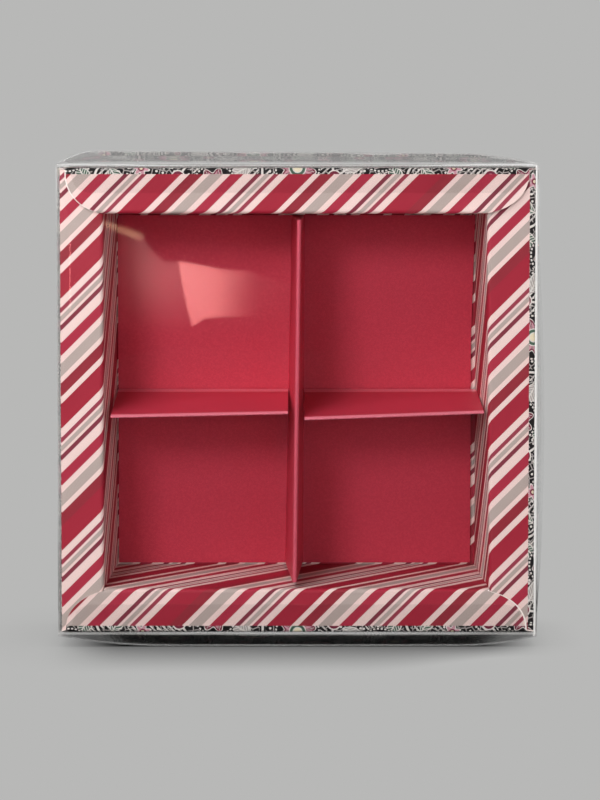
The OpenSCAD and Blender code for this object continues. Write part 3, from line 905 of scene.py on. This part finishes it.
    def build_rim(self, side: Side) -> None:
        """Builds the sheet that is a side's rim, inner wall and tab."""
        edge = self.lit_edge_w / (2 * self.half)
        shares = [0.0, edge] + [blend_of(2 * edge, 1 - 2 * edge, i / 44) for i in range(45)] + [1 - edge, 1.0]
        start, end = (-self.half, self.half) if side.is_end else (self.low, self.high)
        places, whitening_and_highlight = [], []
        for share in shares:
            line = []
            for point in self.profile(side, share).points:
                low_inset, high_inset = self.insets(side, point)
                along = blend_of(start + low_inset, end - high_inset, share)
                lift = self.lift_at(side, share, point)
                line.append(self.to_frame(side, along, point[0], point[1] - lift))
            places.append(line)
            whitening_and_highlight.append([self.lit_edge_at(side, share, point) for point in self.profile(side, share).points])
        finishes = Finishes(self.stripes.build(side), self.board, self.edge)
        turned = side in (Side.BOTTOM, Side.RIGHT)
        strip = moulded_sheet(f"rim_{side.value}", places, self.card_t, finishes, turned, whitening_and_highlight)
        rim = "rim_flap" if side.is_end else "rim_flange"
        hand_over(strip, "case_and_tray", "stripe_print", f"{rim}_{side.value}", f"inner_wall_{side.value}",
                  f"floor_tab_{side.value}")


@dataclass
class Insert:
    """The red insert: a card folded into a ridge, with two dividers that come up through its slits."""

    card_t: float = 0.4
    right_gap: float = 0.6
    right_taper: float = 4.0
    foot_low: tuple[float, float] = (-1.27, 5.7)
    foot_high: tuple[float, float] = (0.15, 3.7)
    tip_low: float = -1.0
    tip_high: float = 0.57
    nose_w: float = 1.3
    foot_fold_r: float = 0.6
    slit_w: float = 1.0
    slit_rise: float = 0.35
    strip_w: float = 10.0
    droops: dict[str, tuple[float, float]] = field(default_factory=lambda: {
        "left": (4.9, 3.6), "right": (5.7, 3.4)})
    # The shine values are painted highlights: how much pale pink lies on the lit crease, nose, crushed end and front
    # edge.
    crease_shine: float = 1.0
    nose_shine: float = 0.32
    crushed_end: tuple[tuple[float, float], ...] = ((0.3, 0.4), (0.5, 0.85))
    end_shine: float = 0.6
    edge_shine: float = 1.0
    edge_dip: float = 0.6

    def __post_init__(self) -> None:
        """Reads the insert's places from the frame."""
        low, high = box_mm("insert_base_left")
        self.left, self.z_low, self.z_high = low.x, low.z, high.z
        self.base_y = (low.y + high.y) / 2
        self.right = box_mm("insert_base_right")[1].x
        self.tip_y = box_mm("insert_ridge")[0].y + self.card_t / 2
        foot = box_mm("divider_foot_left")[0]
        self.crease_z = foot.z - self.slit_w / 2
        self.strip_y = foot.y + self.card_t / 2

    def build(self) -> None:
        """Builds the folded card, the dividers and the strips that glue them."""
        self.red = RedSatinCard().build()
        edge = CutEdge("cut_red_edge", "E97F90", "D9667A").build()
        self.finishes = Finishes(self.red, self.red, edge)
        self.build_card()
        for side in ("left", "right"):
            self.build_divider(side)
            self.build_strip(side)

    def profile(self, up: float) -> FoldedLine:
        """Gives the folded card's line at a share of its height."""
        foot_x = blend_of(self.foot_low[0], self.foot_high[0], up)
        foot_w = blend_of(self.foot_low[1], self.foot_high[1], up)
        tip = blend_of(self.tip_low, self.tip_high, up)
        nose = (self.nose_w - self.card_t) / 2
        right = self.right - self.right_gap + self.right_taper * max(0.0, up - 0.65)
        corners = [(self.left, self.base_y), (foot_x - foot_w / 2, self.base_y), (tip - nose, self.tip_y),
                   (tip + nose, self.tip_y), (foot_x + foot_w / 2, self.base_y), (right, self.base_y)]
        radii = [self.foot_fold_r, nose * 0.95, nose * 0.95, self.foot_fold_r]
        return FoldedLine(corners, radii, [6, 12, 1, 12, 6], arc_cells=5)

    def build_card(self) -> None:
        """Builds the base and the ridge as one folded card with two slits."""
        slit_low, slit_high = self.crease_z - self.slit_w / 2, self.crease_z + self.slit_w / 2 + self.slit_rise
        cells = 24
        heights = [blend_of(self.z_low, slit_low, i / cells) for i in range(cells + 1)]
        heights += [blend_of(slit_high, self.z_high - self.card_t, i / cells) for i in range(cells + 1)]
        rows = [(z, 0.0) for z in heights] + [(self.z_high, 0.0)]
        rows += [(self.z_high + rise, pushed) for rise, pushed in self.crushed_end]
        places, whitening_and_highlight = [], []
        for z, pushed in rows:
            points = self.profile(min(1.0, (z - self.z_low) / (self.z_high - self.z_low))).points
            places.append([(x, blend_of(y, self.base_y, pushed), z) for x, y, *_ in points])
            # Painted highlight on the ridge's nose and on its crushed end.
            shine = self.end_shine if z == self.z_high else 0.0
            whitening_and_highlight.append([self.nose_shine if y < self.tip_y + self.nose_w / 2 and not pushed
                         else shine if y < self.base_y - 1 else 0.0 for _, y, *_ in points])
        slits = [(box_mm(f"divider_foot_{side}")[0].x, box_mm(f"divider_foot_{side}")[1].x)
                 for side in ("left", "right")]

        def in_slit(middle: Vector, _: Vector) -> bool:
            at = middle / MM
            on_base = at.y > self.base_y - self.card_t
            return on_base and slit_low < at.z < slit_high and any(a < at.x < b for a, b in slits)

        card = moulded_sheet("insert_card", places, self.card_t, self.finishes, False, whitening_and_highlight, in_slit)
        hand_over(card, "case_and_tray", "red_card", "insert_base_left", "insert_base_right", "insert_ridge")

    def build_divider(self, side: str) -> None:
        """Builds a divider, which droops more at one end than at the other."""
        low, high = box_mm(f"divider_{side}")
        crease_y, front_y = high.y, low.y + self.card_t / 4
        x0, x1 = (low.x, high.x) if side == "left" else (low.x, high.x + 1.2)
        reach = math.hypot(crease_y - front_y, 4.2)
        shares = [0.0, 0.05, 0.1, 0.115] + [i / 16 for i in range(2, 16)] + [0.975, 0.98, 1.0]
        columns = 24
        places, whitening_and_highlight = [], []
        for share in shares:
            row = []
            for i in range(columns + 1):
                droop = blend_of(*self.droops[side], i / columns)
                depth = math.sqrt(reach ** 2 - droop ** 2)
                dip = self.edge_dip if share == 1.0 else 0.0
                row.append((blend_of(x0, x1, i / columns), crease_y - depth * share,
                            self.crease_z - droop * share - dip))
            places.append(row)
            # Painted highlight along the divider's crease and its front edge.
            shine = self.crease_shine if share < 0.11 else self.edge_shine if share > 0.978 else 0.0
            whitening_and_highlight.append([shine] * (columns + 1))
        divider = moulded_sheet(f"divider_{side}_panel", places, self.card_t, self.finishes, False, whitening_and_highlight)
        hand_over(divider, f"divider_{side}", "red_card", f"divider_{side}")

    def build_strip(self, side: str) -> None:
        """Builds the strip that runs back through the slit and up behind the base."""
        low, high = box_mm(f"divider_foot_{side}")
        front = box_mm(f"divider_{side}")[1].y + 0.1
        line = FoldedLine([(front, self.crease_z), (self.strip_y, self.crease_z),
                           (self.strip_y, high.z)], [0.3], [2, 4], arc_cells=4)
        panel_low, panel_high = box_mm(f"divider_{side}")
        ends = (panel_low.x, min(panel_high.x, self.right - self.right_gap))
        places = [[(x, y, z) for y, z, *_ in line.points] for x in (ends[0], sum(ends) / 2, ends[1])]
        strip = moulded_sheet(f"divider_{side}_strip", places, self.card_t, self.finishes)
        hand_over(strip, "case_and_tray", "red_card", f"divider_foot_{side}")


@dataclass
class Closure:
    """A tuck closure with its tuck flap and its two dust flaps, at the top or the bottom."""

    end: str
    bow_left: float
    bow_right: float
    ramp_left: float
    ramp_right: float
    ramp_back: float
    up: float
    sheet_t: float = 0.3
    tuck_len: float = 14.0
    tuck_inset: float = 2.5
    tuck_taper: float = 2.0
    tuck_corner: float = 7.0
    fold_r: float = 0.55
    dust_len: float = 46.0
    dust_slant: float = 6.0
    dust_corner: float = 6.0
    dust_back: float = 3.0
    ripple: float = 0.12
    crease_white: float = 0.04
    rear_white: float = 0.25
    rear_flat: float = 0.0
    rear_flat_run: float = 24.0

    def __post_init__(self) -> None:
        """Reads the closure's width, depth and levels from the frame."""
        low, high = box_mm(f"{self.end}_closure")
        self.half = high.x
        self.y_back, self.y_fold = high.y, low.y
        self.depth = self.y_back - self.y_fold
        self.level = low.z if self.up > 0 else high.z
        dust = box_mm(f"{self.end}_dust_flap_left")
        self.dust_level = (dust[0].z + dust[1].z) / 2
        self.dust_front = self.y_back - dust[0].y

    def crest(self, x: float) -> float:
        """Height of the bowed front fold above the corners at x."""
        from_left, from_right = x + self.half, self.half - x
        middle = 2 * self.half - self.ramp_left - self.ramp_right
        share = min(1.0, max(0.0, (from_left - self.ramp_left) / middle))
        bow = blend_of(self.bow_left, self.bow_right, share)
        return bow * min(eased(max(0.0, from_left) / self.ramp_left), eased(max(0.0, from_right) / self.ramp_right))

    def lid_point(self, across: float, along: float) -> Point:
        """Place on the closure, from its crease at the back to below its front fold."""
        x = self.half * (2 * across - 1)
        bend_from = 0.9
        flat = self.depth - self.fold_r - self.sheet_t / 2
        if along <= bend_from:
            back = flat * along / bend_from
            drop = 0.0
        else:
            turn = math.pi / 2 * (along - bend_from) / (1 - bend_from)
            back = flat + self.fold_r * math.sin(turn)
            drop = self.fold_r * (1 - math.cos(turn))
        run = min(back, self.depth)
        rise = eased(run / self.ramp_back) / eased(self.depth / self.ramp_back)
        ripple = self.ripple * math.sin(x * 0.075 + 1.1) * math.sin(math.pi * min(1.0, run / self.depth))
        flat_rear = self.rear_flat * math.sin(math.pi * min(1.0, run / self.rear_flat_run))
        height = self.crest(x) * rise - drop - abs(ripple) - flat_rear
        return (x, self.y_back - back, self.level + self.up * (self.sheet_t / 2 + max(height, -drop)))

    def tuck_point(self, across: float, along: float) -> Point:
        """Place on the tuck flap, from below the fold to its free edge."""
        half = self.half - self.tuck_inset - self.tuck_taper * along
        x = half * (2 * across - 1)
        top = self.crest(x) - self.fold_r
        foot = self.half - self.tuck_inset - self.tuck_taper - self.tuck_corner
        past = min(self.tuck_corner, max(0.0, abs(x) - foot))
        low = max(self.bow_left, self.bow_right) - self.tuck_len
        low += self.tuck_corner - math.sqrt(max(0.0, self.tuck_corner ** 2 - past ** 2))
        height = blend_of(top, min(low, top - self.sheet_t), along)
        y = self.y_fold + self.sheet_t / 2 + 0.05 * along * (1 - math.cos(x * 0.06)) / 2
        return (x, y, self.level + self.up * height)

    def dust_point(self, side: float, across: float, along: float) -> Point:
        """Place on a dust flap, from its crease at the side panel to its free edge."""
        reach = self.dust_len - self.dust_slant * along
        out = reach * across
        past = min(self.dust_corner, max(0.0, out - (self.dust_len - self.dust_corner)))
        near = self.dust_front - (self.dust_corner - math.sqrt(self.dust_corner ** 2 - past ** 2)) * (1 - along)
        back = self.dust_back + out / 2
        depth = blend_of(near, back, along)
        sag = 0.2 * across ** 2 * math.sin(2.2 * along + 0.4)
        return (side * (self.half - out), self.y_back - depth, self.dust_level - abs(sag) * self.up)

    def build(self, finishes: Finishes) -> None:
        """Builds the closure, its tuck flap and its dust flaps."""
        columns, rows = 96, 30
        white_marks = [[self.crease_white if row > 0.9 * rows else self.rear_white if row < 2 else 0.0] * (columns + 1)
                    for row in range(rows + 1)]
        lid = moulded_sheet(f"{self.end}_lid", grid_of(columns, rows, self.lid_point), self.sheet_t, finishes,
                            self.up < 0, white_marks)
        hand_over(lid, f"{self.end}_closure", "clear_sheet", f"{self.end}_closure")
        tuck = moulded_sheet(f"{self.end}_tuck", grid_of(columns, 8, self.tuck_point), self.sheet_t, finishes)
        hand_over(tuck, f"{self.end}_tuck_flap", "clear_sheet", f"{self.end}_tuck_flap")
        for name, side in (("left", -1.0), ("right", 1.0)):
            flap = moulded_sheet(f"{self.end}_dust_{name}", grid_of(32, 24, partial(self.dust_point, side)),
                                 self.sheet_t, finishes)
            hand_over(flap, f"{self.end}_dust_flap_{name}", "clear_sheet", f"{self.end}_dust_flap_{name}")


@dataclass
class ClearCase:
    """The clear case: a folded tube, glued at the front right fold, with two closures."""

    sheet: ClearSheet = field(default_factory=ClearSheet)
    sheet_t: float = 0.3
    fold_r: float = 0.7
    seam_w: float = 12.0
    seam_glue: float = 0.15
    bulge: float = 4.2
    dent: float = 0.25
    # The white of the front folds and of the front panel's foot and head is real stress whitening and also a painted
    # highlight of these lit folds and edges.
    left_fold_white: float = 0.05
    seam_fold_white: float = 0.75
    foot_white: float = 0.13
    head_white: float = 0.05
    rear_white: float = 0.25

    def build(self) -> None:
        """Builds the tube and the closures."""
        clear = self.sheet.build()
        finishes = Finishes(clear, clear, self.sheet.build("cut_sheet_edge", haze=0.1))
        self.build_tube(finishes)
        Closure("top", 4.5, 3.6, 14, 28, 90, 1.0, rear_flat=0.75).build(finishes)
        Closure("bottom", 3.4, 3.4, 36, 26, 10, -1.0, crease_white=0.0).build(finishes)

    def build_tube(self, finishes: Finishes) -> None:
        """Builds the four panels and the seam strip as one folded sheet."""
        low, high = box_mm("cover_front")
        back = box_mm("cover_back")[1].y
        side_low, side_high = box_mm("cover_left")
        mid = self.sheet_t / 2
        left, right = low.x + mid, high.x - mid
        front, rear = low.y + mid, back - mid
        inner = right - self.sheet_t - self.seam_glue
        corners = [(inner, front + self.seam_w), (inner, front), (left, front), (left, rear), (right, rear),
                   (right, front + self.fold_r)]
        line = FoldedLine(corners, [self.fold_r] * 4, [8, 40, 16, 30, 20])
        height = high.z - low.z
        foot_rows = [0.0, 0.35, 0.5, 1.15, 1.3]
        shares = [rise / height for rise in foot_rows] + [blend_of(2.5 / height, 1 - 2.0 / height, i / 40)
                                                          for i in range(41)]
        shares += [1 - 1.3 / height, 1 - 1.1 / height, 1 - 0.5 / height, 1 - 0.3 / height, 1.0]
        places, white_marks = [], []
        for up in shares:
            row, marks = [], []
            for x, y, run, _, bent in line.points:
                on_side = run in (0, 2, 4)
                foot = side_low.z if on_side else low.z
                head = side_high.z if on_side else high.z
                if run in (0, 4):
                    x += self.bulge_at(y, up, front, rear)
                if run == 1:
                    y += self.front_wave((x - left) / (right - left), up)
                row.append((x, y, blend_of(foot, head, up)))
                mark = (self.seam_fold_white if x > 0 and y < 0 else self.left_fold_white) if bent else 0.0
                if run == 1 and foot_rows[1] < up * height < foot_rows[-1]:
                    mark = max(mark, self.foot_white)
                if run == 1 and (1 - up) * height < 0.4:
                    mark = max(mark, self.head_white)
                if run == 3 and (1 - up) * height < 1.2:
                    mark = self.rear_white
                marks.append(mark)
            places.append(row)
            white_marks.append(marks)
        tube = moulded_sheet("case_tube", places, self.sheet_t, finishes, whitening_and_highlight=white_marks)
        hand_over(tube, "case_and_tray", "clear_sheet", "cover_front", "cover_left", "cover_back",
                  "cover_right", "cover_glue_seam")

    def bulge_at(self, y: float, up: float, front: float, rear: float) -> float:
        """How far the right panel stands out, most a little below its middle."""
        across = 2 * (y - front) / (rear - front) - 1
        skew = up ** 0.8
        return self.bulge * max(0.0, 1 - across ** 2) * max(0.0, 1 - (2 * skew - 1) ** 2)

    def front_wave(self, across: float, up: float) -> float:
        """Shallow waves of the front panel, all inwards, none at its folds and cut edges."""
        hold = math.sin(math.pi * min(1.0, max(0.0, across))) * math.sin(math.pi * up)
        wave = 0.5 + 0.3 * math.sin(7.0 * across + 2.0 * up) + 0.2 * math.sin(9.0 * up - 3.0 * across)
        return self.dent * hold * wave


@dataclass
class WindowCard:
    """A bright window and its frame behind the camera, which only glossy rays see, so that the clear front mirrors it.

    Its patterns are laid out in millimetres on the front panel, as the photograph's camera sees them there.
    """

    distance: float = 1.25
    eye_height: float = 0.1748
    eye_distance: float = 0.9403
    patch: tuple[float, float, float] = (18.5, 6.8, 6.2)
    veil: tuple[float, float, float] = (4.4, 2.5, 2.3)
    streak: tuple[float, float, float] = (9.5, 5.4, 3.2)
    side: tuple[float, float, float] = (22.0, 7.5, 7.0)

    def build(self) -> None:
        """Adds the card and its glow."""
        panel_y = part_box("cover_front")[0][1]
        spread = (self.distance + panel_y) / self.eye_distance
        clear_selection()
        bpy.ops.mesh.primitive_plane_add(size=1.0, location=(0.0, -self.distance, 0.0),
                                         rotation=(math.radians(90), 0.0, 0.0))
        card = bpy.context.object
        card.name = "window_card"
        surface = Surface("window_glow")
        p = surface.x * (1 / (1 + spread))
        q = (surface.y + self.eye_height / MM * spread) * (1 / (1 + spread))
        glow = self.glow(surface.tree, p, q)
        light = add_node(surface.tree, "ShaderNodeEmission", {}, {"Color": glow, "Strength": 1.0})
        card.data.materials.append(surface.finish(light.outputs[0]))
        card.visible_camera = card.visible_diffuse = card.visible_transmission = card.visible_shadow = False
        card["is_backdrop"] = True

    def glow(self, tree: bpy.types.NodeTree, p: Field, q: Field) -> bpy.types.NodeSocket:
        """Gives the light of the card.

        Args:
            tree: The card's node tree.
            p: Place across the front panel in millimetres.
            q: Height on the front panel in millimetres.

        Returns:
            The light's colour.
        """
        drop = q * -1.0 + 130.1
        head = drop - (p + 41.2) * 0.14 + 0.4
        tip = (p * -1.0 - 32.6).math("MAXIMUM", 0.0) * 0.7
        patch = ((p + 41.2 - drop * 0.2045).eased(-0.3, 0.7) * head.eased(-0.4, 0.8)
                 * (q + tip - 111.5).eased(-0.4, 0.7) * p.eased(-33.0, -13.0, 1.0, 0.0))
        shoulder = ((p + 50.8) * -0.22 + 138.5).math("MINIMUM", (p + 45.4) * -1.24 + 131.8)
        limit = shoulder.math("MAXIMUM", (p + 40.7) * -0.155 + 130.1)
        veil = ((limit - q).eased(-0.5, 1.5) * q.eased(104.0, 128.0) * p.eased(-60.0, -46.0, 0.15, 1.0)
                * p.eased(-44.0, -30.0, 1.0, 0.3) * p.eased(-20.0, 4.0, 1.0, 0.0))
        slant = ((p + 63.3) * 0.31 + q - 141.3).size()
        streak = slant.eased(0.2, 1.5, 1.0, 0.0) * p.eased(-66.0, -62.0) * p.eased(-52.0, -49.0, 1.0, 0.0)
        side = (p.eased(-79.5, -77.5) * p.eased(-74.4, -73.2, 1.0, 0.0) * q.eased(112.0, 120.0)
                * q.eased(135.0, 139.0, 1.0, 0.0))
        shown = (0.0, 0.0, 0.0)
        for mask, colour in ((patch, self.patch), (veil, self.veil), (streak, self.streak), (side, self.side)):
            tinted = add_node(tree, "ShaderNodeVectorMath", {"operation": "SCALE"}, {0: colour, "Scale": mask.socket})
            total = add_node(tree, "ShaderNodeVectorMath", {"operation": "ADD"}, {0: shown, 1: tinted.outputs[0]})
            shown = total.outputs[0]
        return shown


@dataclass
class Studio:
    """Plain pale floor, soft light and the photograph's viewpoint, in metres."""

    backdrop: str = "B8B8B7"
    focal_px: float = 2810.5
    long_side_px: float = 800.0
    eye_distance: float = 0.9431
    eye_height: float = 0.1748
    pitch_deg: float = 3.56
    shift_x: float = 0.0031
    shift_y: float = -0.12
    target: Point = (0.0, 0.0, 0.08)

    def build(self) -> None:
        """Adds the camera, the floor, the world and the lamps."""
        self.add_camera()
        self.add_floor()
        self.add_world()
        self.add_lamp("key_box", (-0.35, -0.95, 0.5), 0.25, 3.9)
        self.add_lamp("top_box", (-0.3, -0.36, 0.6), 0.3, 2.8)
        WindowCard().build()
        bpy.context.scene.view_settings.view_transform = "Standard"
        bpy.context.scene.cycles.transparent_max_bounces = 48

    def add_camera(self) -> None:
        """Adds the camera at the photograph's viewpoint."""
        data = bpy.data.cameras.new("camera")
        data.sensor_width = 36.0
        data.lens = data.sensor_width * self.focal_px / self.long_side_px
        data.shift_x = self.shift_x
        data.shift_y = self.shift_y
        data.clip_start = 0.05
        camera = bpy.data.objects.new("camera", data)
        rim_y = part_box("rim_flap_top")[0][1]
        camera.location = (0.0, rim_y - self.eye_distance, self.eye_height)
        camera.rotation_euler = (math.radians(90 - self.pitch_deg), 0.0, 0.0)
        bpy.context.collection.objects.link(camera)
        bpy.context.scene.camera = camera

    def add_floor(self) -> None:
        """Adds a floor that shows the backdrop's colour and darkens softly where the box stands over it."""
        clear_selection()
        bpy.ops.mesh.primitive_plane_add(size=8.0, location=(0.0, 0.0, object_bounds()[0].z))
        floor = bpy.context.object
        floor.name = "floor"
        surface = Surface("floor_paper")
        tree = surface.tree
        # Seen by the camera the floor is shaded by ambient occlusion, with a longer reach towards the left and kept
        # weak beside the box's ends: a painted shape of the box's shadow.
        reach = surface.x.eased(20.0, 75.0, 0.045, 0.018)
        cover = add_node(tree, "ShaderNodeAmbientOcclusion", {"samples": 16}, {"Distance": reach.socket})
        shade = Field(tree, cover.outputs["AO"]).math("POWER", 1.5) * -1.0 + 1.0
        open_sky = shade * surface.x.size().eased(58.0, 88.0, -1.0, -0.15) + 1.0
        seen = add_node(tree, "ShaderNodeEmission", {}, {"Color": linear(self.backdrop), "Strength": open_sky.socket})
        # For other rays the floor glows in the backdrop's colour, weakest next to the box: a painted shade under it in
        # the bounce light.
        beside = (surface.x.size() - 75.0).math("MAXIMUM", surface.y.size() - 20.0).eased(0.0, 50.0, 0.02, 0.65)
        lit = add_node(tree, "ShaderNodeEmission", {}, {"Color": linear(self.backdrop), "Strength": beside.socket})
        # Glossy rays see the floor glow dim in front and brighter behind the box and beside its ends: painted strengths
        # for the clear case's reflections.
        aside = surface.x.size().eased(86.0, 112.0) * surface.y.eased(-140.0, -60.0)
        away = surface.y.eased(-1500.0, -100.0, 0.16, 0.04) + surface.y.eased(60.0, 400.0).math("MAXIMUM", aside)
        dim = add_node(tree, "ShaderNodeEmission", {}, {"Color": linear(self.backdrop), "Strength": away.socket})
        rays = add_node(tree, "ShaderNodeLightPath")
        other = add_node(tree, "ShaderNodeMixShader", {}, {0: rays.outputs["Is Glossy Ray"], 1: lit.outputs[0],
                                                          2: dim.outputs[0]})
        whole = add_node(tree, "ShaderNodeMixShader", {}, {0: rays.outputs["Is Camera Ray"], 1: other.outputs[0],
                                                          2: seen.outputs[0]})
        floor.data.materials.append(surface.finish(whole.outputs[0]))
        floor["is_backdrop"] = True

    def add_world(self) -> None:
        """Adds a soft world that shows the backdrop's colour to the camera."""
        world = bpy.data.worlds.new("studio")
        world.use_nodes = True
        tree = world.node_tree
        tree.nodes.clear()
        way = add_node(tree, "ShaderNodeSeparateXYZ", {},
                       {0: add_node(tree, "ShaderNodeTexCoord").outputs["Generated"]})
        height = Field(tree, way.outputs[2])
        rise = height.eased(0.0, 0.5, 3.25, 0.0)
        light = add_node(tree, "ShaderNodeBackground", {}, {"Color": (1.0, 0.99, 0.98, 1.0), "Strength": rise.socket})
        seen = add_node(tree, "ShaderNodeBackground", {}, {"Color": linear(self.backdrop), "Strength": 1.0})
        behind = (Field(tree, way.outputs[1]).eased(-0.75, 0.1, 0.08, 1.15)
                  + Field(tree, way.outputs[2]).size().eased(0.008, 0.045, 0.6, 0.0))
        gloss = add_node(tree, "ShaderNodeBackground", {}, {"Color": linear(self.backdrop),
                                                            "Strength": behind.socket})
        rays = add_node(tree, "ShaderNodeLightPath")
        first = add_node(tree, "ShaderNodeMixShader", {}, {0: rays.outputs["Is Glossy Ray"],
                                                          1: light.outputs[0], 2: gloss.outputs[0]})
        last = add_node(tree, "ShaderNodeMixShader", {}, {0: rays.outputs["Is Camera Ray"],
                                                         1: first.outputs[0], 2: seen.outputs[0]})
        add_node(tree, "ShaderNodeOutputWorld", {}, {"Surface": last.outputs[0]})
        bpy.context.scene.world = world

    def add_lamp(self, name: str, at: Point, size: float, watts: float) -> None:
        """Adds a square soft box that faces the middle of the box.

        Args:
            name: The lamp's name.
            at: Where the lamp stands, in metres.
            size: Length of its sides in metres.
            watts: Its power.
        """
        data = bpy.data.lights.new(name, "AREA")
        data.size = size
        data.energy = watts
        lamp = bpy.data.objects.new(name, data)
        lamp.location = at
        lamp.rotation_euler = (Vector(self.target) - Vector(at)).to_track_quat("-Z", "Y").to_euler()
        bpy.context.collection.objects.link(lamp)


def main() -> None:
    """Builds the box's looks and the studio."""
    logging.basicConfig(level=logging.INFO, format="%(name)s: %(message)s")
    for part in (Tray(), Insert(), ClearCase(), Studio()):
        part.build()
        log.info("built %s", type(part).__name__)


if __name__ == "__main__":
    main()
